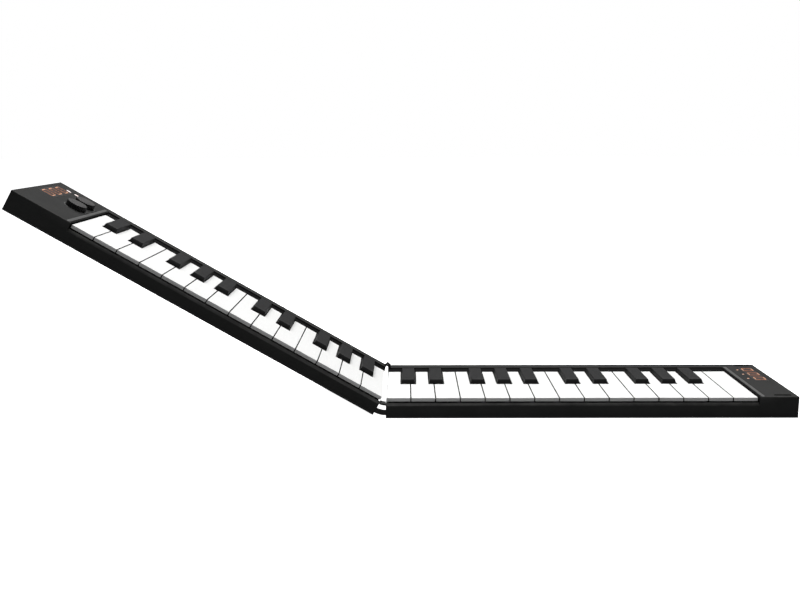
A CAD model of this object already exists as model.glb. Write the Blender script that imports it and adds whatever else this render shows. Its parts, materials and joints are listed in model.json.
"""Looks of a folding piano keyboard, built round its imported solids."""

import json
from math import cos, pi, radians, sin

import bmesh
import bpy
from mathutils import Matrix, Vector
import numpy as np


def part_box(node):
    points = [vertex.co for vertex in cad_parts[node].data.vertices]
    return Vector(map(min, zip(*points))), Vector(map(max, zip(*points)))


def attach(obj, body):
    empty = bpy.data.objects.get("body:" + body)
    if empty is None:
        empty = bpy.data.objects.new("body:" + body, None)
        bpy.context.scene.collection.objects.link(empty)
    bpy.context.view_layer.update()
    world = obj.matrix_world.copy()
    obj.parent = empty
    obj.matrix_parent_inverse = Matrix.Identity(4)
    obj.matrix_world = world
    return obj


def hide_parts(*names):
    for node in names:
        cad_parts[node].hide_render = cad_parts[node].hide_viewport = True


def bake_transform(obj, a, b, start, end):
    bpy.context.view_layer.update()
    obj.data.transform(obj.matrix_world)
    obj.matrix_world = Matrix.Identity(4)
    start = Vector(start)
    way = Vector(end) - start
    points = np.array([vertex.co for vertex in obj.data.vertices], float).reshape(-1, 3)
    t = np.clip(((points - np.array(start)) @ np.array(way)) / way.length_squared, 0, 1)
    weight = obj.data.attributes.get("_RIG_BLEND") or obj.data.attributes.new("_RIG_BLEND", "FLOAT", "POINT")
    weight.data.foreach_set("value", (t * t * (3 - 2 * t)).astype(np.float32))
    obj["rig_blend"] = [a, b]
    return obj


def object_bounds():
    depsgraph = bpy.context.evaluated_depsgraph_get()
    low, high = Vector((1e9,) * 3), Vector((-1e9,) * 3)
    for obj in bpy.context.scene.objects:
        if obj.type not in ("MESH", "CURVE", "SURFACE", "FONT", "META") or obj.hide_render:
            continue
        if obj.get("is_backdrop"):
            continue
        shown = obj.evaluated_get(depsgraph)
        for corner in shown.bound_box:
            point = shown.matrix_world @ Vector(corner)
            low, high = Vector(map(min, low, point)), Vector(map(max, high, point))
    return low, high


bl_info = {
    "name": "Folding keyboard",
    "version": (1, 0, 0),
    "blender": (4, 5, 0),
    "location": "3D View > Sidebar > Keyboard",
    "description": "Dresses the keys, cases, knobs, displays and hardware of a folding keyboard",
    "category": "Object",
}

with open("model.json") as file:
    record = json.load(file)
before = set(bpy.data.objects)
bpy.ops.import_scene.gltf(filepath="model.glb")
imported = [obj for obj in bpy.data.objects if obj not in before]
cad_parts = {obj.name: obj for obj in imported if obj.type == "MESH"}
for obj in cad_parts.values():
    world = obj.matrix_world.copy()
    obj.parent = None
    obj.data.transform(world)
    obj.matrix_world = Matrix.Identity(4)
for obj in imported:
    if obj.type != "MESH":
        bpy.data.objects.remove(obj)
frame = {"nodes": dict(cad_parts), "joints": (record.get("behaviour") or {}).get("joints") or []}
cad_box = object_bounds()

# Frames of the two halves, taken from the fold joint and the base plate
fold = next(j for j in frame["joints"] if j["name"] == "fold")
axis_x, _, axis_z = fold["pos_m"]
rest_fold = radians(-fold["range_deg"][0])
plate_low, plate_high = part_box("right_base_plate")
half_length = plate_high.x - plate_low.x
case_depth = plate_high.y - plate_low.y
half_gap = plate_low.x - axis_x
RIGHT = Matrix.Translation((plate_low.x, plate_low.y, 0))
LEFT = (
    Matrix.Translation((axis_x, plate_low.y, axis_z))
    @ Matrix.Rotation(rest_fold, 4, "Y")
    @ Matrix.Translation((0, 0, -axis_z))
    @ Matrix.Diagonal((-1, 1, 1, 1))
    @ Matrix.Translation((half_gap, 0, 0))
)
HALVES = {"right": RIGHT, "left": LEFT}
BODIES = {"right": "right_half", "left": "left_half"}

# Heights and places of the solids, as in the part's source
case_height = 0.0207
plate_thickness = 0.002
white_top = 0.019
black_top = 0.0232
key_front = 0.0033
rail_front = 0.1123
ledge_front = 0.1038
chamfer_depth = 0.002
keys_end = {"right": 0.3531, "left": 0.3296}
foot_inset = 0.014
screw_end = 0.009
screw_back = 0.0054
panel_screw = (half_length - 0.0037, 0.036)
display_mid = {"right": (0.3767, 0.0843), "left": (0.377, 0.078)}
slot_mid = (0.3765, (0.006, 0.1187))
knob_mid = {"front_knob": (0.3474, 0.0579), "rear_knob": (0.3474, 0.0823)}
pin_ends = (0.1126, 0.1196)
# Front, back, lower and upper end of each link, and the radius of its upper front edge
link_sections = {
    "lower_link": (0.0003, 0.0023, 0.0029, 0.0079, 0.0004),
    "upper_link": (0.001, 0.008, 0.0121, 0.0145, 0.0016),
}
battery_length = 0.11
foot_top = 0.0008

# What only the scene has
plate_edge = 0.0003
# Middle and size of the tongue in the charging socket
tongue_mid, tongue_size = (0.3663, 0.12, 0.00925), (0.0062, 0.005, 0.0007)
# Half the length, half the width and the depth of the room around a sound slot
slot_room = (0.0095, 0.003, 0.004)
# How far the digits lie from the display's middle, away from the hinge, and the height of their strokes
digit_shift, stroke_height = 0.0003, 0.00008
# Middles of the indicator lights, and half their length and width
light_mids = {
    "right": ((0.3653, 0.0662), (0.3662, 0.0833), (0.3662, 0.1007)),
    "left": ((0.3733, 0.1059), (0.3646, 0.1066)),
}
light_halves = {"right": (0.0011, 0.001), "left": (0.0027, 0.0013)}
# Distances from a knob to both edges of its rim, and the rim's height
rim_inner, rim_outer, rim_height = 0.0009, 0.0016, 0.00012
# Least angle in radians between two faces whose shared edge is rounded
rounded_bend = 0.35
# Places closer than this are one place: in the solids, and near edges that are rounded
near, loose = 1e-5, 1e-4
dust_colour = (0.32, 0.31, 0.29)
# What the strongest smear adds to the roughness
smear_roughness = 0.12
floor_level = -0.0002
# Size and place of the lamp, and the point that it faces
lamp_size, lamp_place, lamp_aim = (2.6, 1.8), Vector((-0.1, 0.55, 2.0)), Vector((0.0, 0.0, 0.05))
# Place and turns of the camera, fitted to the edges of the object in the picture
camera_place = (-0.17535, -0.92354, 0.26997)
camera_turns = ((0.00692, "Z"), (pi / 2 - 0.17905, "X"), (-0.00331, "Z"))


def length(name, description, default, low, high):
    return bpy.props.FloatProperty(
        name=name, description=description, default=default, min=low, max=high, unit="LENGTH", precision=5
    )


def colour(name, description, default):
    return bpy.props.FloatVectorProperty(
        name=name, description=description, default=default, size=3, min=0.0, max=1.0, subtype="COLOR"
    )


def share(name, description, default, high=1.0):
    return bpy.props.FloatProperty(name=name, description=description, default=default, min=0.0, max=high)


class KeySettings(bpy.types.PropertyGroup):
    white_edge: length("White edge", "Radius of the white keys' edges", 0.00025, 0.0001, 0.001)
    black_edge: length("Black edge", "Radius of the black keys' edges", 0.0004, 0.0002, 0.0015)
    white: colour("White", "Colour of the white keys", (0.9, 0.9, 0.89))
    black: colour("Black", "Colour of the black keys", (0.0085, 0.0085, 0.0087))
    mottle: colour("Mottle", "Colour of the pale spots on the black keys", (0.028, 0.028, 0.0285))
    side: colour("Side", "Colour of the white keys' sides, down in the gaps", (0.015, 0.015, 0.009))


class CaseSettings(bpy.types.PropertyGroup):
    edge: length("Edge", "Radius of the cases' outer edges", 0.0006, 0.0001, 0.0012)
    lip: length("Lip", "Radius of the panel edge beside the keys", 0.0005, 0.0002, 0.0015)
    strip_width: length("Strip width", "Width of the strip beside the keys", 0.0034, 0.001, 0.004)
    strip_height: length("Strip height", "Height of the strip above the panel", 0.0003, 0.0001, 0.0004)
    groove: length("Groove", "Width of the dark band between the keys and the strip", 0.0016, 0.0002, 0.003)
    plastic: colour("Plastic", "Colour of the cases", (0.0285, 0.0285, 0.028))
    plate: colour("Plate", "Colour of the base plates", (0.011, 0.011, 0.0115))
    worn: colour("Worn edge", "Colour of rubbed edges", (0.068, 0.068, 0.066))
    worn_chamfer: share("Worn chamfer", "How rubbed the chamfer at the front is", 1.6, 3.0)
    shaded: colour("Shaded", "Colour of slot walls, ledge and rail wall", (0.006, 0.006, 0.006))


class KnobSettings(bpy.types.PropertyGroup):
    radius: length("Radius", "Radius of the knobs", 0.0099, 0.005, 0.012)
    height: length("Height", "Height of the knobs above the panel", 0.0055, 0.003, 0.006)
    ribs: bpy.props.IntProperty(name="Ribs", description="Ribs around a knob", default=28, min=8, max=40)
    depth: length("Rib depth", "Depth of the grooves between the ribs", 0.0006, 0.0001, 0.001)
    rubber: colour("Rubber", "Colour of the knobs", (0.03, 0.029, 0.03))


class DisplaySettings(bpy.types.PropertyGroup):
    right_digit: length("Right digit", "Height of a digit on the right panel, along the case", 0.0098, 0.005, 0.016)
    left_digit: length("Left digit", "Height of a digit on the left panel, along the case", 0.0112, 0.005, 0.016)
    digit_width: length("Digit width", "Width of a digit, across the case", 0.0095, 0.003, 0.012)
    stroke: length("Stroke", "Width of a lit stroke", 0.0008, 0.0003, 0.002)
    pitch: length("Pitch", "Distance between two digits", 0.0175, 0.01, 0.02)
    ends: colour("Ends", "Colour of the strokes at both ends of a digit", (0.7, 0.42, 0.29))
    sides: colour("Sides", "Colour of the strokes along a digit", (0.3, 0.09, 0.035))
    strength: share("Strength", "Brightness of the lit strokes", 1.0, 20.0)


class HardwareSettings(bpy.types.PropertyGroup):
    head_radius: length("Screw head", "Radius of the screw heads", 0.0024, 0.001, 0.003)
    foot_radius: length("Foot", "Radius of the rubber feet", 0.006, 0.002, 0.007)
    pin_radius: length("Pin", "Radius of the hinge pin", 0.00075, 0.0003, 0.0009)
    steel: colour("Steel", "Colour of screws, pin and socket", (0.46, 0.46, 0.47))
    rubber: colour("Rubber", "Colour of feet and links", (0.013, 0.013, 0.0135))


class StageSettings(bpy.types.PropertyGroup):
    top_light: bpy.props.FloatProperty(
        name="Top light", description="Power of the light overhead", default=79.0, min=0.0, unit="POWER"
    )
    back_sky: share("Back", "Brightness of the surroundings behind", 0.08, 5.0)
    front_sky: share("Front", "Brightness of the surroundings in front", 0.2, 5.0)
    floor: colour("Floor", "Colour of the floor", (0.9, 0.9, 0.9))
    floor_glow: share("Floor glow", "Brightness that the floor has of its own", 1.15, 2.0)
    lens: bpy.props.FloatProperty(name="Lens", description="Focal length on a 36 mm wide sensor", default=42.476)


SETTINGS = {
    "keyboard_keys": KeySettings,
    "keyboard_case": CaseSettings,
    "keyboard_knobs": KnobSettings,
    "keyboard_displays": DisplaySettings,
    "keyboard_hardware": HardwareSettings,
    "keyboard_stage": StageSettings,
}


# Node trees
def feed(node, inputs):
    """Puts values or sockets on a node's inputs."""
    for key, value in inputs.items():
        if isinstance(value, bpy.types.NodeSocket):
            node.id_data.links.new(value, node.inputs[key])
        else:
            node.inputs[key].default_value = value


def add(tree, kind, inputs=None, **settings):
    """The outputs of a new node of that kind, with these settings, and with values or sockets on its inputs."""
    made = tree.nodes.new(kind)
    for name, value in settings.items():
        setattr(made, name, value)
    feed(made, inputs or {})
    return made.outputs


# In the next functions the first value is a socket, and its tree takes the new node
def maths(operation, first, second=0.0):
    return add(first.id_data, "ShaderNodeMath", {0: first, 1: second}, operation=operation)[0]


def times(first, second):
    return maths("MULTIPLY", first, second)


def plus(first, second):
    return maths("ADD", first, second)


def separate(vector):
    return add(vector.id_data, "ShaderNodeSeparateXYZ", {0: vector})


def between(value, low, high, to_low=0.0, to_high=1.0):
    """Value brought from one range to another, and kept in it."""
    inputs = {"Value": value, "From Min": low, "From Max": high, "To Min": to_low, "To Max": to_high}
    return add(value.id_data, "ShaderNodeMapRange", inputs)["Result"]


def mixed(factor, first, second):
    """Colour between two colours."""
    first, second = (c if isinstance(c, bpy.types.NodeSocket) else (*c, 1.0) for c in (first, second))
    return add(factor.id_data, "ShaderNodeMix", {0: factor, 6: first, 7: second}, data_type="RGBA")[2]


def group(name, inputs, outputs, kind="ShaderNodeTree"):
    """An empty node group with named inputs and outputs, the sockets given to it, and its output node."""
    tree = bpy.data.node_groups.new(name, kind)
    for title, socket, value in inputs:
        made = tree.interface.new_socket(title, in_out="INPUT", socket_type="NodeSocket" + socket)
        if value is not None:
            made.default_value = value
    for title, socket in outputs:
        tree.interface.new_socket(title, in_out="OUTPUT", socket_type="NodeSocket" + socket)
    return tree, tree.nodes.new("NodeGroupInput").outputs, tree.nodes.new("NodeGroupOutput")


def noise(place, scale, detail=2.0, roughness=0.5):
    inputs = {"Vector": place, "Scale": scale, "Detail": detail, "Roughness": roughness}
    return add(place.id_data, "ShaderNodeTexNoise", inputs)["Fac"]


def make_grain(name):
    """Fine moulded texture: a height, and a light speckle of the same grain."""
    tree, given, out = group(name, [("Vector", "Vector", None), ("Grains per metre", "Float", 3000.0)],
        [("Height", "Float"), ("Speckle", "Float")])
    place, scale = given["Vector"], given["Grains per metre"]
    fine = noise(place, scale, 3.0, 0.6)
    coarse = noise(place, times(scale, 0.23), 1.0)
    height = plus(times(fine, 0.7), times(coarse, 0.3))
    feed(out, {"Height": height, "Speckle": between(fine, 0.52, 0.72)})
    return tree


def make_wear(name):
    """Rubbed edges: the bevelled faces that a piece marks, broken up by noise."""
    tree, given, out = group(name, [("Vector", "Vector", None), ("Amount", "Float", 0.5)], [("Mask", "Float")])
    edge = add(tree, "ShaderNodeAttribute", attribute_name="edge")["Fac"]
    patches = between(noise(given["Vector"], 60.0, 4.0, 0.62), 0.36, 0.66, 0.25)
    mask = times(times(edge, patches), given["Amount"])
    feed(out, {"Mask": mask})
    return tree


def make_marks(name):
    """Touch marks and dust: soft smears, and specks on what faces up."""
    tree, given, out = group(name, [("Vector", "Vector", None), ("Smears per metre", "Float", 24.0)],
        [("Smears", "Float"), ("Dust", "Float")])
    place = given["Vector"]
    soft = noise(place, given["Smears per metre"], 3.0, 0.55)
    streaks = add(tree, "ShaderNodeMapping", {"Vector": place, "Scale": (1.0, 4.0, 1.0)})[0]
    fine = noise(streaks, 210.0, 2.0)
    smears = times(between(soft, 0.48, 0.72), between(fine, 0.3, 0.7, 0.3))
    up = separate(add(tree, "ShaderNodeNewGeometry")["Normal"])[2]
    specks = between(noise(place, 1500.0, 1.0), 0.7, 0.8)
    film = between(noise(place, 14.0, 3.0), 0.35, 0.8, 0.0, 0.4)
    dust = times(plus(specks, film), between(up, 0.6, 0.95))
    feed(out, {"Smears": smears, "Dust": dust})
    return tree


def shared_tree(name):
    """The tree of that name, which is made once."""
    return bpy.data.node_groups.get(name) or TREES[name](name)


def effect(name, where, inputs):
    """The outputs of a shared effect at these coordinates."""
    return add(where.id_data, "ShaderNodeGroup", {"Vector": where, **inputs}, node_tree=shared_tree(name))


def new_material(name):
    """A new material, its main shader and the object coordinates."""
    made = bpy.data.materials.new(name)
    made.use_nodes = True
    return made, made.node_tree.nodes["Principled BSDF"], add(made.node_tree, "ShaderNodeTexCoord")["Object"]


def finish_of(
    name, base, roughness, grains=3000.0, relief=0.00002, worn=None, wear=0.6, smears=0.5, dust=0.25,
    tint=None, metallic=0.0, level=0.5, tint_scale=40.0,
):
    """A plastic, rubber or metal: base colour with a slow tint, grain, rubbed edges, touch marks and dust."""
    if name in bpy.data.materials:
        return bpy.data.materials[name]
    made, skin, where = new_material(name)
    grain = effect("moulded_grain", where, {"Grains per metre": grains})
    edges = effect("edge_wear", where, {"Amount": wear})["Mask"]
    marks = effect("marks_and_dust", where, {})
    slow = between(noise(where, tint_scale, 3.0), 0.3, 0.7)
    tone = mixed(slow, base, tint or tuple(c * 1.18 + 0.001 for c in base))
    tone = mixed(times(grain["Speckle"], 0.35), tone, tuple(c * 1.5 + 0.004 for c in base))
    tone = mixed(edges, tone, worn or tuple(min(1.0, c * 2.5 + 0.03) for c in base))
    tone = mixed(times(marks["Dust"], dust), tone, dust_colour)
    rough = plus(times(marks["Smears"], smears * smear_roughness), roughness)
    rough = plus(rough, times(grain["Height"], 0.08))
    rough = maths("SUBTRACT", rough, times(edges, 0.08))
    bump = add(made.node_tree, "ShaderNodeBump", {"Height": grain["Height"], "Strength": 0.6, "Distance": relief})
    feed(skin, {
        "Base Color": tone, "Roughness": rough, "Normal": bump["Normal"], "Metallic": metallic,
        "Specular IOR Level": level})
    return made


def marked_faces(made, attribute, base):
    """Gives the faces that carry an attribute another base colour."""
    skin = made.node_tree.nodes["Principled BSDF"]
    before = skin.inputs["Base Color"].links[0].from_socket
    mask = add(made.node_tree, "ShaderNodeAttribute", attribute_name=attribute)["Fac"]
    feed(skin, {"Base Color": mixed(mask, before, base)})


def make_glow(name, base, strength):
    """A lit stroke or lens, a little brighter along its middle."""
    made, skin, where = new_material(name)
    uneven = between(noise(where, 420.0, 2.0), 0.3, 0.7)
    feed(skin, {
        "Emission Color": mixed(uneven, tuple(c * 0.86 for c in base), base), "Emission Strength": strength,
        "Base Color": mixed(uneven, (0.3, 0.1, 0.04), (0.4, 0.16, 0.07)), "Roughness": 0.35})
    return made


def make_window(side, settings):
    """Smoked display front, with the glow of its digits spread through it."""
    made = finish_of(side + "_display_front", (0.016, 0.013, 0.013), 0.36, grains=5000.0, relief=0.000006,
        wear=0.2, dust=0.3)
    tree = made.node_tree
    tall = getattr(settings, side + "_digit")
    # The direction away from the hinge, and the middle of the digits
    away = HALVES[side].col[0].to_3d()
    u, y = display_mid[side]
    middle = HALVES[side] @ Vector((u + digit_shift, y, case_height))
    where = add(tree, "ShaderNodeTexCoord")["Object"]
    reach = add(tree, "ShaderNodeVectorMath", {0: where, 1: away}, operation="DOT_PRODUCT")["Value"]
    across = maths("ABSOLUTE", maths("SUBTRACT", reach, middle.dot(away)))
    along = maths("SUBTRACT", separate(where)[1], middle.y)
    nearest = maths("PINGPONG", plus(along, settings.pitch * 1.5), settings.pitch / 2)
    over = between(across, tall * 0.42, tall * 0.66, 1.0, 0.0)
    inside = times(over, between(nearest, settings.pitch * 0.12, settings.pitch * 0.34))
    ends = between(maths("ABSOLUTE", along), settings.pitch * 1.35, settings.pitch * 1.6, 1.0, 0.0)
    shine = mixed(times(inside, ends), (0.0, 0.0, 0.0), (0.115, 0.031, 0.012))
    feed(tree.nodes["Principled BSDF"], {"Emission Color": shine, "Emission Strength": 0.2})
    return made


# Meshes
def closed_copy(node, place):
    """A merged copy of a CAD node, in the flat coordinates of its half."""
    bm = bmesh.new()
    bm.from_mesh(frame["nodes"][node].data)
    bmesh.ops.remove_doubles(bm, verts=bm.verts, dist=2e-6)
    bm.transform(place.inverted())
    if place.determinant() < 0:
        bmesh.ops.reverse_faces(bm, faces=bm.faces)
    bmesh.ops.dissolve_limit(bm, angle_limit=radians(0.5), verts=bm.verts, edges=bm.edges)
    bm.normal_update()
    return bm


def face_layer(bm, name):
    layers = bm.faces.layers.float
    return layers.get(name) or layers.new(name)


def round_edges(bm, size, wanted):
    """Rounds the outward edges that are wanted, and marks the new faces as edge."""
    mark = face_layer(bm, "edge")
    edges = [
        e for e in bm.edges
        if len(e.link_faces) == 2 and e.calc_face_angle_signed(0) > rounded_bend and wanted(*(v.co for v in e.verts))
    ]
    made = bmesh.ops.bevel(
        bm, geom=edges, offset=size, offset_type="OFFSET", segments=3, profile=0.5, affect="EDGES",
        loop_slide=True)
    for face in made["faces"]:
        face[mark] = 1.0


def mark_seams(bm, hidden):
    """Marks how far each face lies down in a gap, from 0 to 1, by its middle and normal."""
    mark = face_layer(bm, "seam")
    bm.normal_update()
    for face in bm.faces:
        face[mark] = hidden(face.calc_center_median(), face.normal)


def islands(bm):
    """Faces of each separate solid in a mesh."""
    left = dict.fromkeys(bm.faces)
    while left:
        one = [left.popitem()[0]]
        for face in one:
            for beside in (f for e in face.edges for f in e.link_faces if f in left):
                del left[beside]
                one.append(beside)
        yield one


def box_of(faces):
    points = [v.co for f in faces for v in f.verts]
    return [Vector(pick(p[i] for p in points) for i in range(3)) for pick in (min, max)]


def outward(bm):
    """Turns the faces of a shape outward."""
    bmesh.ops.recalc_face_normals(bm, faces=bm.faces)
    return bm


def join(bm, rings):
    """Faces between each ring of points and the next. A ring can be a single point."""
    made = []
    for first, second in zip(rings, rings[1:]):
        low, high = len(first), len(second)
        for k in range(max(low, high)):
            n = k + 1
            corners = [first[k % low], first[n % low], second[n % high], second[k % high]]
            made.append(bm.faces.new(list(dict.fromkeys(corners))))
    return made


def lathe(bm, profile, steps=24):
    """Turns points of radius and height about an upright line. Open rings stay open."""
    rings = []
    for radius, height in profile:
        turns = [2 * pi * k / steps for k in range(steps if radius else 1)]
        rings.append([bm.verts.new((radius * cos(a), radius * sin(a), height)) for a in turns])
    join(bm, rings)
    return rings


def mesh_of(name, bm):
    """The shape in bm, which it uses up, as a new mesh."""
    mesh = bpy.data.meshes.new(name)
    bm.to_mesh(mesh)
    bm.free()
    return mesh


def in_scene(name, data):
    made = bpy.data.objects.new(name, data)
    bpy.context.scene.collection.objects.link(made)
    return made


def piece(name, bm, place, body, materials, nodes=(), soft_angle=38.0):
    """Turns a shape in a half's flat coordinates into a finished piece on its body, smoothed by its large faces."""
    bm.transform(place)
    if place.determinant() < 0:
        bmesh.ops.reverse_faces(bm, faces=bm.faces)
    mesh = mesh_of(name, bm)
    for material in materials:
        mesh.materials.append(material)
    mesh.shade_smooth()
    mesh.set_sharp_from_angle(angle=radians(soft_angle))
    made = in_scene(name, mesh)
    smooth = made.modifiers.new("even_normals", "WEIGHTED_NORMAL")
    smooth.keep_sharp = True
    smooth.weight = 100
    flatten(made)
    if nodes:
        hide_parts(*nodes)
    if body:
        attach(made, body)
    return made


def flatten(made):
    """Replaces an object's mesh by its evaluated one, and drops the modifiers."""
    graph = bpy.context.evaluated_depsgraph_get()
    evaluated = bpy.data.meshes.new_from_object(made.evaluated_get(graph))
    made.modifiers.clear()
    old = made.data
    made.data = evaluated
    evaluated.name = made.name
    bpy.data.meshes.remove(old)


# Geometry nodes
def run_tree(name, bm, tree_name, values):
    """The shape that a tree makes from bm with these named inputs, with its faces outward."""
    source = in_scene(name + "_source", mesh_of(name, bm))
    modifier = source.modifiers.new(tree_name, "NODES")
    modifier.node_group = tree = shared_tree(tree_name)
    for socket in tree.interface.items_tree:
        if socket.item_type == "SOCKET" and socket.in_out == "INPUT" and socket.name in values:
            modifier[socket.identifier] = values[socket.name]
    flatten(source)
    shape = bmesh.new()
    shape.from_mesh(source.data)
    old = source.data
    bpy.data.objects.remove(source)
    bpy.data.meshes.remove(old)
    return outward(shape)


def geometry_tree(name, inputs):
    shape = ("Geometry", "Geometry")
    return group(name, [(*shape, None), *inputs], [shape], "GeometryNodeTree")


def close_tree(out, geometry, material):
    """Makes the geometry real and gives it its material, as each tree's last steps."""
    real = add(out.id_data, "GeometryNodeRealizeInstances", {"Geometry": geometry})[0]
    feed(out, {"Geometry": add(out.id_data, "GeometryNodeSetMaterial", {"Geometry": real, "Material": material})[0]})


def make_repeater(name):
    """Repeats the shape in a mesh at each of its loose points, each turned by a random angle."""
    tree, given, out = geometry_tree(name, [
        ("Largest turn", "Float", 0.0), ("Seed", "Int", 3), ("Material", "Material", None)])
    faces = add(tree, "GeometryNodeInputMeshVertexNeighbors")["Face Count"]
    lone = add(tree, "FunctionNodeCompare", {2: faces, 3: 0}, data_type="INT", operation="EQUAL")[0]
    chosen = {"Geometry": given["Geometry"], "Selection": lone}
    split = add(tree, "GeometryNodeSeparateGeometry", chosen, domain="POINT")
    limits = {"Seed": given["Seed"], 2: 0.0, 3: given["Largest turn"]}
    turn = add(tree, "FunctionNodeRandomValue", limits, data_type="FLOAT")[1]
    angles = add(tree, "ShaderNodeCombineXYZ", {"Z": turn})[0]
    placed = add(tree, "GeometryNodeInstanceOnPoints", {
        "Points": split["Selection"], "Instance": split["Inverted"], "Rotation": angles})
    close_tree(out, placed[0], given["Material"])
    return tree


def make_knob(name):
    """Turns a profile of loose points into a round knob with grooves cut into its side."""
    tree, given, out = geometry_tree(name, [
        ("Radius", "Float", 0.01), ("Ribs", "Int", 28), ("Groove depth", "Float", 0.0006),
        ("Steps per rib", "Int", 8), ("Material", "Material", None)])
    profile = given["Geometry"]
    count = add(tree, "GeometryNodeAttributeDomainSize", {"Geometry": profile})["Point Count"]
    around = plus(times(given["Ribs"], given["Steps per rib"]), 1.0)
    grid = add(tree, "GeometryNodeMeshGrid", {"Size X": 1.0, "Size Y": 1.0, "Vertices X": around, "Vertices Y": count})
    position = add(tree, "GeometryNodeInputPosition")[0]
    parts = separate(position)
    angle = times(plus(parts[0], 0.5), 2 * pi)
    last = maths("SUBTRACT", count, 1.0)
    index = maths("ROUND", times(plus(parts[1], 0.5), last))
    wanted = {"Geometry": profile, "Value": position, "Index": index}
    sample = add(tree, "GeometryNodeSampleIndex", wanted, data_type="FLOAT_VECTOR", domain="POINT")
    point = separate(sample["Value"])
    side = between(maths("DIVIDE", point[0], given["Radius"]), 0.9, 0.97)
    wave = maths("COSINE", times(angle, given["Ribs"]))
    groove = maths("POWER", times(plus(wave, 1.0), 0.5), 2.0)
    cut = times(times(groove, side), given["Groove depth"])
    reach = maths("SUBTRACT", point[0], cut)
    spot = add(tree, "ShaderNodeCombineXYZ", {
        "X": times(reach, maths("COSINE", angle)),
        "Y": times(reach, maths("SINE", angle)), "Z": point[2]})[0]
    moved = add(tree, "GeometryNodeSetPosition", {"Geometry": grid["Mesh"], "Position": spot})[0]
    merged = add(tree, "GeometryNodeMergeByDistance", {"Geometry": moved, "Distance": 1e-6})[0]
    close_tree(out, merged, given["Material"])
    return tree


TREES = {
    "moulded_grain": make_grain, "edge_wear": make_wear, "marks_and_dust": make_marks,
    "repeat_at_points": make_repeater, "grooved_knob": make_knob,
}


def repeated(name, bm, points, place, body, material, nodes=(), turn=0.0, seed=3):
    """The shape in bm at each of the points, made by the repeating tree and put on a body."""
    for point in points:
        bm.verts.new(point)
    shape = run_tree(name, bm, "repeat_at_points", {"Largest turn": turn, "Seed": seed, "Material": material})
    return piece(name, shape, place, body, [material], nodes)


# Pieces
def make_keys(kind, plastic, edge, wanted, hidden):
    """The white or the black keys, each with rounded edges on its own body."""
    for node in sorted(n for n in frame["nodes"] if n.startswith(kind + "_key")):
        place = HALVES["left" if int(node[-1]) <= 3 else "right"]
        bm = closed_copy(node, place)
        round_edges(bm, edge, wanted)
        mark_seams(bm, hidden)
        piece(kind + "_" + node.split("_key_")[1], bm, place, node, [plastic], [node])


def on_outer_edge(a, b, heights, shortest):
    """Whether an edge lies on two outer faces of its half: on its sides, or on flat faces at these heights."""
    ends = [[p.x, p.x - half_length, p.y, p.y - case_depth, *(p.z - h for h in heights)] for p in (a, b)]
    shared = sum(abs(one) < near and abs(two) < near for one, two in zip(*ends))
    return shared >= 2 and (a - b).length > shortest


def rubber_material(settings):
    return finish_of("rubber", settings.rubber, 0.62, grains=1800.0, relief=0.00004, wear=0.3, dust=0.35, level=0.35)


def steel_material(settings):
    return finish_of("steel", settings.steel, 0.26, grains=1400.0, relief=0.000006, wear=0.1, dust=0.02,
        metallic=1.0, tint_scale=300.0)


def for_camera(other, seen):
    """Shows one shader to the camera and the other to everything else."""
    ray = add(other.id_data, "ShaderNodeLightPath")["Is Camera Ray"]
    return add(other.id_data, "ShaderNodeMixShader", {0: ray, 1: other, 2: seen})[0]


class KEYBOARD_OT_stage(bpy.types.Operator):
    """Make the floor, the soft light, the surroundings and the camera"""

    bl_idname = "keyboard.stage"
    bl_label = "Stage"

    def execute(self, context):
        s = context.scene.keyboard_stage
        self.floor(s)
        self.surroundings(context.scene, s)
        light = bpy.data.lights.new("overhead", "AREA")
        light.shape = "RECTANGLE"
        light.size, light.size_y = lamp_size
        light.energy = s.top_light
        lamp = in_scene("overhead", light)
        lamp.location = lamp_place
        lamp.rotation_euler = (lamp_aim - lamp_place).to_track_quat("-Z", "Y").to_euler()
        self.camera(context.scene, s)
        context.scene.view_settings.view_transform = "Standard"
        return {"FINISHED"}

    def floor(self, s):
        bm = bmesh.new()
        bmesh.ops.create_grid(bm, x_segments=8, y_segments=8, size=8.0)
        bm.transform(Matrix.Translation((0.0, 0.0, floor_level)))
        made = in_scene("floor", mesh_of("floor", bm))
        paint, skin, where = new_material("pale_floor")
        slow = between(noise(where, 3.0), 0.3, 0.7)
        pale = mixed(slow, s.floor, tuple(c * 1.02 for c in s.floor))
        feed(skin, {
            "Base Color": pale, "Emission Color": pale, "Emission Strength": s.floor_glow, "Roughness": 0.9})
        dim = add(paint.node_tree, "ShaderNodeBsdfDiffuse", {"Color": (0.2, 0.2, 0.2, 1.0)})[0]
        feed(paint.node_tree.nodes["Material Output"], {"Surface": for_camera(dim, skin.outputs[0])})
        made.data.materials.append(paint)
        made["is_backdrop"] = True

    def surroundings(self, scene, s):
        scene.world = bpy.data.worlds.new("studio")
        scene.world.use_nodes = True
        tree = scene.world.node_tree
        tree.nodes.clear()
        toward = separate(add(tree, "ShaderNodeTexCoord")["Generated"])[1]
        strength = between(toward, -0.3, 0.6, s.front_sky, s.back_sky)
        soft = add(tree, "ShaderNodeBackground", {"Color": (0.97, 0.985, 1.0, 1.0), "Strength": strength})[0]
        white = add(tree, "ShaderNodeBackground", {"Color": (1.0, 1.0, 1.0, 1.0), "Strength": 1.0})[0]
        add(tree, "ShaderNodeOutputWorld", {"Surface": for_camera(soft, white)})

    def camera(self, scene, s):
        place = Matrix.Translation(camera_place)
        for angle, axis in camera_turns:
            place @= Matrix.Rotation(angle, 4, axis)
        data = bpy.data.cameras.new("camera")
        data.sensor_width = 36.0
        data.lens = s.lens
        data.clip_start, data.clip_end = 0.05, 60.0
        made = in_scene("camera", data)
        made.matrix_world = place
        scene.camera = made


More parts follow.
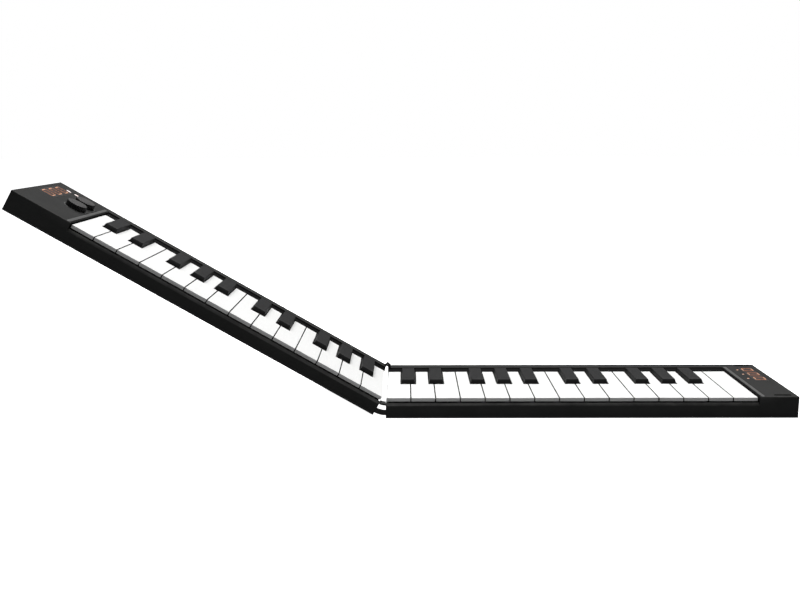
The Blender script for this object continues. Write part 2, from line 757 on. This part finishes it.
class KEYBOARD_OT_white_keys(bpy.types.Operator):
    """Make the white keys, each with rounded edges on its own body"""

    bl_idname = "keyboard.white_keys"
    bl_label = "White keys"

    def execute(self, context):
        s = context.scene.keyboard_keys
        plastic = finish_of("white_key_plastic", s.white, 0.2, grains=900.0, relief=0.000004,
            worn=(0.74, 0.74, 0.72), wear=0.2, smears=0.3, dust=0.01, tint=(0.92, 0.92, 0.91), tint_scale=18.0)
        marked_faces(plastic, "seam", s.side)

        def shown(a, b):
            return min(a.z, b.z) > white_top - near or max(a.y, b.y) < key_front + near

        make_keys("white", plastic, s.white_edge, shown, self.hidden)
        return {"FINISHED"}

    def hidden(self, middle, out):
        """Sides and rear ends lie in the gaps, and the front ends are a little darker than the tops."""
        if abs(out.x) > 0.9 or out.y > 0.9 or out.y < -0.9 and middle.y > key_front + 0.001:
            return 1.0
        return 0.23 if out.y < -0.9 else 0.0


class KEYBOARD_OT_black_keys(bpy.types.Operator):
    """Make the black keys, each with a rounded, sloping top on its own body"""

    bl_idname = "keyboard.black_keys"
    bl_label = "Black keys"

    def execute(self, context):
        s = context.scene.keyboard_keys
        plastic = finish_of("black_key_plastic", s.black, 0.5, grains=800.0, relief=0.00014,
            worn=(0.035, 0.035, 0.036), wear=0.4, smears=0.6, dust=0.02, tint=s.mottle, tint_scale=700.0, level=0.15)
        marked_faces(plastic, "seam", (0.003, 0.003, 0.003))

        def raised(a, b):
            return max(a.z, b.z) > black_top - near and min(a.z, b.z) > white_top - loose

        make_keys("black", plastic, s.black_edge, raised, lambda middle, out: 0.9 if out.z < 0.62 else 0.0)
        return {"FINISHED"}


class KEYBOARD_OT_cases(bpy.types.Operator):
    """Make the two cases with rounded outer edges and the soft lip beside the keys"""

    bl_idname = "keyboard.cases"
    bl_label = "Cases"

    def execute(self, context):
        s = context.scene.keyboard_case
        plastic = finish_of("case_plastic", s.plastic, 0.55, worn=s.worn, wear=0.6, dust=0.03, level=0.045)
        shaded = finish_of("shaded_plastic", s.shaded, 0.75, wear=0.1, dust=0.0, level=0.04)
        for side, place in HALVES.items():
            node, end = side + "_housing", keys_end[side]
            bm = closed_copy(node, place)

            def lip(a, b):
                at_keys = all(abs(p.x - end) < near and p.z > case_height - near for p in (a, b))
                return at_keys and abs(a.y - b.y) > 0.01

            def rim(a, b):
                beside_keys = min(abs(a.x - end), abs(b.x - end)) <= loose
                return on_outer_edge(a, b, [] if beside_keys else [case_height], 0.002)

            round_edges(bm, s.lip, lip)
            round_edges(bm, s.edge, rim)
            self.mark_chamfer(bm, s.worn_chamfer)
            for face in bm.faces:
                if self.hidden(side, face.calc_center_median(), face.normal):
                    face.material_index = 1
            piece(side + "_case", bm, place, BODIES[side], [plastic, shaded], [node])
        return {"FINISHED"}

    def mark_chamfer(self, bm, amount):
        """Marks the chamfer along the low front wall as rubbed."""
        mark = face_layer(bm, "edge")
        bm.normal_update()
        for face in bm.faces:
            if face.calc_center_median().y < chamfer_depth and -0.95 < face.normal.y < -0.4 and face.normal.z > 0.3:
                face[mark] = max(face[mark], amount)

    def hidden(self, side, middle, out):
        """Whether a face lies in shade: slot walls, the ledge, the walls round the keys, and the lip below them."""
        end = keys_end[side]
        along, across, deep = slot_room
        if side == "right" and out.z < 0.5 and middle.z > case_height - deep and abs(middle.x - slot_mid[0]) < along:
            return min(abs(middle.y - y) for y in slot_mid[1]) < across
        if middle.x < end + loose and middle.z < case_height - loose:
            ledge = ledge_front - 0.0006 < middle.y < rail_front + loose
            wall = out.x < -0.5 and abs(middle.x - end) < loose
            lip = out.z > 0.9 and chamfer_depth - loose < middle.y < key_front and middle.z > 0.01
            return ledge or wall or lip
        return False


class KEYBOARD_OT_strips(bpy.types.Operator):
    """Make the low rounded strips along the panels, and the dark band between each and the keys"""

    bl_idname = "keyboard.strips"
    bl_label = "Strips"

    def execute(self, context):
        s = context.scene.keyboard_case
        paler = tuple(c * 2.4 for c in s.plastic)
        plastic = finish_of("strip_plastic", paler, 0.4, worn=s.worn, wear=0.5, dust=0.05)
        dark = finish_of("groove_shadow", (0.004, 0.004, 0.004), 0.8, wear=0.0, dust=0.0, level=0.1)
        for side, place in HALVES.items():
            start, overlap, band_height = keys_end[side] + 0.0001, 0.0004, 0.00004
            bm = bmesh.new()
            self.bar(bm, start + s.groove, s.strip_width, s.strip_height, 0)
            self.bar(bm, start, s.groove + overlap, band_height, 1)
            outward(bm)
            piece(side + "_strip", bm, place, BODIES[side], [plastic, dark])
        return {"FINISHED"}

    def bar(self, bm, start, width, height, skin):
        """A bar along the panel with a half-round front end and a crowned top."""
        half, front, back = width / 2, 0.0007, rail_front + 0.0006
        mid, steps = start + half, 8
        turns = [pi * k / steps for k in range(steps + 1)]
        loops = []
        for inset, rise in ((0.0, -0.0003), (0.0, height * 0.45), (0.12, height * 0.85), (0.3, height)):
            r = half * (1.0 - inset)
            ring = [(mid + r, back - half * inset), (mid - r, back - half * inset)]
            ring += [(mid - r * cos(a), front + half - r * sin(a)) for a in turns]
            loops.append([bm.verts.new((x, y, case_height + rise)) for x, y in ring])
        for face in [bm.faces.new(loops[0]), bm.faces.new(loops[-1]), *join(bm, loops)]:
            face.material_index = skin


class KEYBOARD_OT_base_plates(bpy.types.Operator):
    """Make the base plates and the rubber feet that are let into them"""

    bl_idname = "keyboard.base_plates"
    bl_label = "Base plates and feet"

    def execute(self, context):
        case, hardware = context.scene.keyboard_case, context.scene.keyboard_hardware
        plastic = finish_of("base_plate_plastic", case.plate, 0.48, grains=2200.0, relief=0.00003, wear=0.4, dust=0.1)
        rubber = rubber_material(hardware)
        for side, place in HALVES.items():
            node = side + "_base_plate"
            bm = closed_copy(node, place)
            feet = [f for one in islands(bm) if box_of(one)[1].z < foot_top + loose for f in one]
            bmesh.ops.delete(bm, geom=feet, context="FACES")
            round_edges(bm, plate_edge, lambda a, b: on_outer_edge(a, b, [0.0, plate_thickness], 0.0015))
            for v in bm.verts:
                v.co.y = min(max(v.co.y, 0.0), case_depth)
            piece(side + "_plate", bm, place, BODIES[side], [plastic], [node])
            shape = bmesh.new()
            rings = [
                (0.0, 0.0002), (0.3, 0.0002), (0.33, 0.0), (0.52, 0.0), (0.55, 0.00018), (0.62, 0.00018),
                (0.65, 0.0), (0.95, 0.0), (1.0, 0.0003), (1.0, foot_top), (0.0, foot_top)]
            lathe(shape, [(hardware.foot_radius * part, height) for part, height in rings], 36)
            ends = [(foot_inset, far - foot_inset) for far in (half_length, case_depth)]
            corners = [(u, y, 0.0) for u in ends[0] for y in ends[1]]
            repeated(side + "_feet", shape, corners, place, BODIES[side], rubber)
        return {"FINISHED"}


class KEYBOARD_OT_electronics(bpy.types.Operator):
    """Make the boards, battery, speaker, socket and display fronts"""

    bl_idname = "keyboard.electronics"
    bl_label = "Electronics"
    BOARD, WINDOW, SILICONE, BATTERY, CONE, STEEL = range(6)

    def execute(self, context):
        steel = steel_material(context.scene.keyboard_hardware)
        board = finish_of("circuit_board", (0.012, 0.07, 0.028), 0.35, grains=700.0, relief=0.00002, wear=0.0,
            tint=(0.02, 0.1, 0.04), tint_scale=160.0, dust=0.05)
        silicone = finish_of("silicone", (0.42, 0.42, 0.41), 0.5, grains=900.0, relief=0.00001, dust=0.1)
        battery = finish_of("battery_wrap", (0.1, 0.1, 0.11), 0.3, grains=120.0, relief=0.00005, dust=0.05)
        cone = finish_of("speaker_cone", (0.02, 0.02, 0.021), 0.7, grains=1200.0, relief=0.00005, dust=0.2)
        for side, place in HALVES.items():
            node = side + "_electronics"
            bm = closed_copy(node, place)
            window = make_window(side, context.scene.keyboard_displays)
            for one in islands(bm):
                kind = self.kind_of(*box_of(one))
                for face in one:
                    face.material_index = kind
            if side == "right":
                self.tongue(bm)
            skins = [board, window, silicone, battery, cone, steel]
            piece(side + "_inside", bm, place, BODIES[side], skins, [node])
        return {"FINISHED"}

    def kind_of(self, low, high):
        """What a solid inside the case is, by its place and size."""
        size = high - low
        if high.z > case_height - loose:
            return self.WINDOW
        if high.y > case_depth - loose or size.x < 0.012 and size.z > 0.008:
            return self.STEEL
        if size.y < 0.012 and size.x > 0.2:
            return self.SILICONE
        if abs(size.x - battery_length) < 0.001:
            return self.BATTERY
        return self.CONE if abs(size.x - size.y) < 0.001 and size.z > 0.004 else self.BOARD

    def tongue(self, bm):
        """Adds the contact tongue inside the charging socket."""
        place = Matrix.Translation(tongue_mid) @ Matrix.Diagonal((*tongue_size, 1.0))
        made = bmesh.ops.create_cube(bm, size=1.0, matrix=place)
        faces = list(dict.fromkeys(f for v in made["verts"] for f in v.link_faces))
        for face in faces:
            face.material_index = self.CONE
        edges = list(dict.fromkeys(e for f in faces for e in f.edges))
        bmesh.ops.bevel(bm, geom=edges, offset=0.0001, segments=2, affect="EDGES", profile=0.5)


class KEYBOARD_OT_knobs(bpy.types.Operator):
    """Make the two grooved knobs on the left panel, and the low rim around each"""

    bl_idname = "keyboard.knobs"
    bl_label = "Knobs"

    def execute(self, context):
        s = context.scene.keyboard_knobs
        rubber = finish_of("knob_rubber", s.rubber, 0.5, grains=2600.0, relief=0.00003, worn=(0.1, 0.098, 0.1),
            wear=0.6, smears=0.6, dust=0.3, tint=(0.045, 0.042, 0.042), tint_scale=90.0, level=0.3)
        marked_faces(rubber, "seam", (0.004, 0.004, 0.004))
        pale = finish_of("rim_plastic", (0.07, 0.07, 0.071), 0.4, wear=0.3, dust=0.05)
        low, high = 0.0005, s.height
        r, bend = s.radius, 0.0007
        arc = [radians(a) for a in (90, 67.5, 45, 22.5, 0)]
        rows = [(0.0, high - 0.0001), (r * 0.5, high - 0.0001), (r - 2.2 * bend, high)]
        rows += [(r - bend + bend * cos(a), high - bend + bend * sin(a)) for a in arc]
        rows += [(r, (low + high) / 2), (r, low + 0.0003), (r - 0.0003, low)]
        stem, end = 0.003, low - 0.007
        rows += [(0.0036, low), (stem, low - 0.0002), (stem, end + 0.0004), (0.0026, end), (0.0, end)]
        for node, (u, y) in knob_mid.items():
            bm = bmesh.new()
            for radius, height in rows:
                bm.verts.new((radius, 0.0, height))
            values = {"Radius": r, "Ribs": s.ribs, "Groove depth": s.depth, "Material": rubber}
            shape = run_tree(node, bm, "grooved_knob", values)
            mark_seams(shape, lambda middle, out: 0.9 if out.z < 0.6 else 0.0)
            place = LEFT @ Matrix.Translation((u, y, case_height))
            piece(node + "_cap", shape, place, node, [rubber], [node], soft_angle=50.0)
            rim = bmesh.new()
            inner, outer = r + rim_inner, r + rim_outer
            lathe(rim, [
                (inner, 0.0), (inner, rim_height), ((inner + outer) / 2, rim_height * 1.2), (outer, rim_height),
                (outer, 0.0), (inner, 0.0)], 64)
            bmesh.ops.remove_doubles(rim, verts=rim.verts, dist=1e-7)
            piece(node + "_rim", outward(rim), place, "left_half", [pale])
        return {"FINISHED"}


class KEYBOARD_OT_displays(bpy.types.Operator):
    """Make the lit digits and the small indicator lights"""

    bl_idname = "keyboard.displays"
    bl_label = "Displays"

    def execute(self, context):
        s = context.scene.keyboard_displays
        ends = make_glow("lit_ends", s.ends, s.strength)
        sides = make_glow("lit_sides", s.sides, s.strength)
        lenses = {
            "right": make_glow("lit_lens", (0.62, 0.42, 0.32), s.strength),
            "left": make_glow("white_lens", (0.85, 0.88, 0.9), 1.3),
        }
        for side, place in HALVES.items():
            u, y = display_mid[side]
            points = [(u + digit_shift, y + k * s.pitch, case_height) for k in (-1, 0, 1)]
            tall = getattr(s, side + "_digit")
            repeated(side + "_digit_ends", self.digit(s, tall, True), points, place, BODIES[side], ends)
            repeated(side + "_digit_sides", self.digit(s, tall, False), points, place, BODIES[side], sides)
        for side, place in HALVES.items():
            points = [(u, y, case_height) for u, y in light_mids[side]]
            repeated(side + "_lights", self.lens(*light_halves[side]), points, place, BODIES[side], lenses[side])
        return {"FINISHED"}

    def digit(self, s, tall, at_ends):
        """The two end strokes, or the four side strokes, of a zero lying along the case."""
        bm = bmesh.new()
        half, wide, w = tall / 2, s.digit_width / 2, s.stroke / 2
        gap, short = 0.00012, wide * 0.85
        if at_ends:
            strokes = [((x, -short), (x, short)) for x in (-half, half)]
        else:
            strokes = [((x, y), (x + half, y)) for y in (-wide, wide) for x in (-half, 0.0)]
        for a, b in strokes:
            a, b = Vector((*a, 0.0)), Vector((*b, 0.0))
            run = (b - a).normalized()
            side = Vector((-run.y, run.x, 0.0)) * w
            a, b = a + run * gap, b - run * gap
            shape = [a, a + run * w + side, b - run * w + side, b, b - run * w - side, a + run * w - side]
            face = bm.faces.new([bm.verts.new(p) for p in shape])
            up = bmesh.ops.extrude_face_region(bm, geom=[face])
            verts = [v for v in up["geom"] if isinstance(v, bmesh.types.BMVert)]
            bmesh.ops.translate(bm, verts=verts, vec=(0.0, 0.0, stroke_height))
        return outward(bm)

    def lens(self, long_half, wide_half):
        """A low rounded lens."""
        bm = bmesh.new()
        foot = -0.0002
        lathe(bm, [(0.0, foot), (1.0, foot), (1.0, 0.00005), (0.86, 0.00018), (0.55, 0.00026), (0.0, 0.0003)], 16)
        bm.transform(Matrix.Diagonal((long_half, wide_half, 1.0, 1.0)))
        return bm


class KEYBOARD_OT_screws(bpy.types.Operator):
    """Make the base plate screws and the hinge pin"""

    bl_idname = "keyboard.screws"
    bl_label = "Screws and hinge pin"

    def execute(self, context):
        s = context.scene.keyboard_hardware
        steel = steel_material(s)
        step = (half_length - 2 * screw_end) / 3
        points = [(screw_end + k * step, case_depth - screw_back, 0.0) for k in range(4)] + [(*panel_screw, 0.0)]
        for seed, (side, place) in enumerate(HALVES.items()):
            node = {"right": "right_screws_and_pin", "left": "left_screws"}[side]
            repeated(side + "_screws_set", self.screw(s.head_radius), points, place, BODIES[side], steel,
                [node], turn=pi / 2, seed=seed)
        bm = bmesh.new()
        low, high = pin_ends
        r = s.pin_radius
        lathe(bm, [(0.0, low), (r * 0.7, low), (r, low + 0.0002), (r, high - 0.0002), (r * 0.7, high), (0.0, high)])
        bm.transform(Matrix.Translation((-half_gap, 0.0, axis_z)) @ Matrix.Rotation(-pi / 2, 4, "X"))
        piece("hinge_pin", outward(bm), RIGHT, BODIES["right"], [steel])
        return {"FINISHED"}

    def screw(self, head):
        """A countersunk-flush screw with a cross recess, seen from below."""
        bm = bmesh.new()
        bevel, tall, shank = 0.0003, 0.001, 0.0012
        rim = lathe(bm, [
            (head - bevel, 0.0), (head, bevel), (head, tall), (shank, tall), (shank, 0.009), (0.0, 0.00985)])[0]
        arm, half = 0.0014, 0.00035
        cross = [(arm, -half), (arm, half), (half, half), (half, arm), (-half, arm), (-half, half), (-arm, half),
                 (-arm, -half), (-half, -half), (-half, -arm), (half, -arm), (half, -half)]
        edge = [bm.verts.new((x, y, 0.0)) for x, y in cross]
        floor = [bm.verts.new((x * 0.8, y * 0.8, 0.0006)) for x, y in cross]
        open_edges = [
            bm.edges.get(pair) or bm.edges.new(pair) for ring in (rim, edge) for pair in zip(ring, ring[1:] + ring[:1])]
        bmesh.ops.triangle_fill(bm, edges=open_edges, use_beauty=True)
        join(bm, [edge, floor])
        bm.faces.new(floor)
        return outward(bm)


class KEYBOARD_OT_links(bpy.types.Operator):
    """Make the two flexible links that bridge the gap between the halves"""

    bl_idname = "keyboard.links"
    bl_label = "Links"

    def execute(self, context):
        rubber = rubber_material(context.scene.keyboard_hardware)
        pieces = [self.link(name, section, rubber) for name, section in link_sections.items()]
        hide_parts("link_cable")
        return {"FINISHED"}

    def link(self, name, section, rubber):
        """One strap with rounded corners, square to both end faces and bent evenly between them."""
        front, back, low, high, soft = section
        tall, deep, arm, steps = high - low, back - front, axis_z - (low + high) / 2, 24
        outline = []
        for cy, cz, first in ((1, 1, 0), (-1, 1, 90), (-1, -1, 180), (1, -1, 270)):
            corner = soft if (cy, cz) == (-1, 1) else 0.0004
            y, z = cy * (deep / 2 - corner), cz * (tall / 2 - corner)
            turns = [radians(first + 30 * k) for k in range(4)]
            outline += [(y + corner * cos(a), z + corner * sin(a)) for a in turns]
        bm = bmesh.new()
        rings = []
        for k in range(steps + 1):
            turn = rest_fold * k / steps
            ring = []
            for dy, dz in outline:
                out = arm - dz
                x = axis_x + half_gap * (1 - 2 * k / steps) - out * sin(turn)
                ring.append(bm.verts.new((x, plate_low.y + (front + back) / 2 + dy, axis_z - out * cos(turn))))
            rings.append(ring)
        join(bm, rings)
        bm.faces.new(rings[0])
        bm.faces.new(rings[-1])
        outward(bm)
        start, end = (sum((v.co for v in ring), Vector()) / len(outline) for ring in (rings[0], rings[-1]))
        made = piece(name, bm, Matrix.Identity(4), None, [rubber])
        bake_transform(made, BODIES["right"], BODIES["left"], start=start, end=end)
        return made


STEPS = [
    KEYBOARD_OT_stage, KEYBOARD_OT_cases, KEYBOARD_OT_strips, KEYBOARD_OT_base_plates, KEYBOARD_OT_white_keys,
    KEYBOARD_OT_black_keys, KEYBOARD_OT_electronics, KEYBOARD_OT_knobs, KEYBOARD_OT_displays, KEYBOARD_OT_screws,
    KEYBOARD_OT_links,
]
CLASSES = [*SETTINGS.values(), *STEPS]


class KEYBOARD_PT_pieces(bpy.types.Panel):
    """Lists the steps and their sizes and colours"""

    bl_label = "Folding keyboard"
    bl_idname = "KEYBOARD_PT_pieces"
    bl_space_type = "VIEW_3D"
    bl_region_type = "UI"
    bl_category = "Keyboard"

    def draw(self, context):
        for step in STEPS:
            self.layout.operator(step.bl_idname)
        for name, settings in SETTINGS.items():
            box = self.layout.box()
            for prop in settings.__annotations__:
                box.prop(getattr(context.scene, name), prop)


def register():
    for made in [*CLASSES, KEYBOARD_PT_pieces]:
        bpy.utils.register_class(made)
    for name, settings in SETTINGS.items():
        setattr(bpy.types.Scene, name, bpy.props.PointerProperty(type=settings))


def unregister():
    for name in SETTINGS:
        delattr(bpy.types.Scene, name)
    for made in [KEYBOARD_PT_pieces, *reversed(CLASSES)]:
        bpy.utils.unregister_class(made)


def main():
    register()
    for step in STEPS:
        space, name = step.bl_idname.split(".")
        getattr(getattr(bpy.ops, space), name)()
    boxes = {"cad": cad_box, "visual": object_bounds()}
    {name: [list(corner) for corner in corners] for name, corners in boxes.items()}


if __name__ == "__main__":
    main()
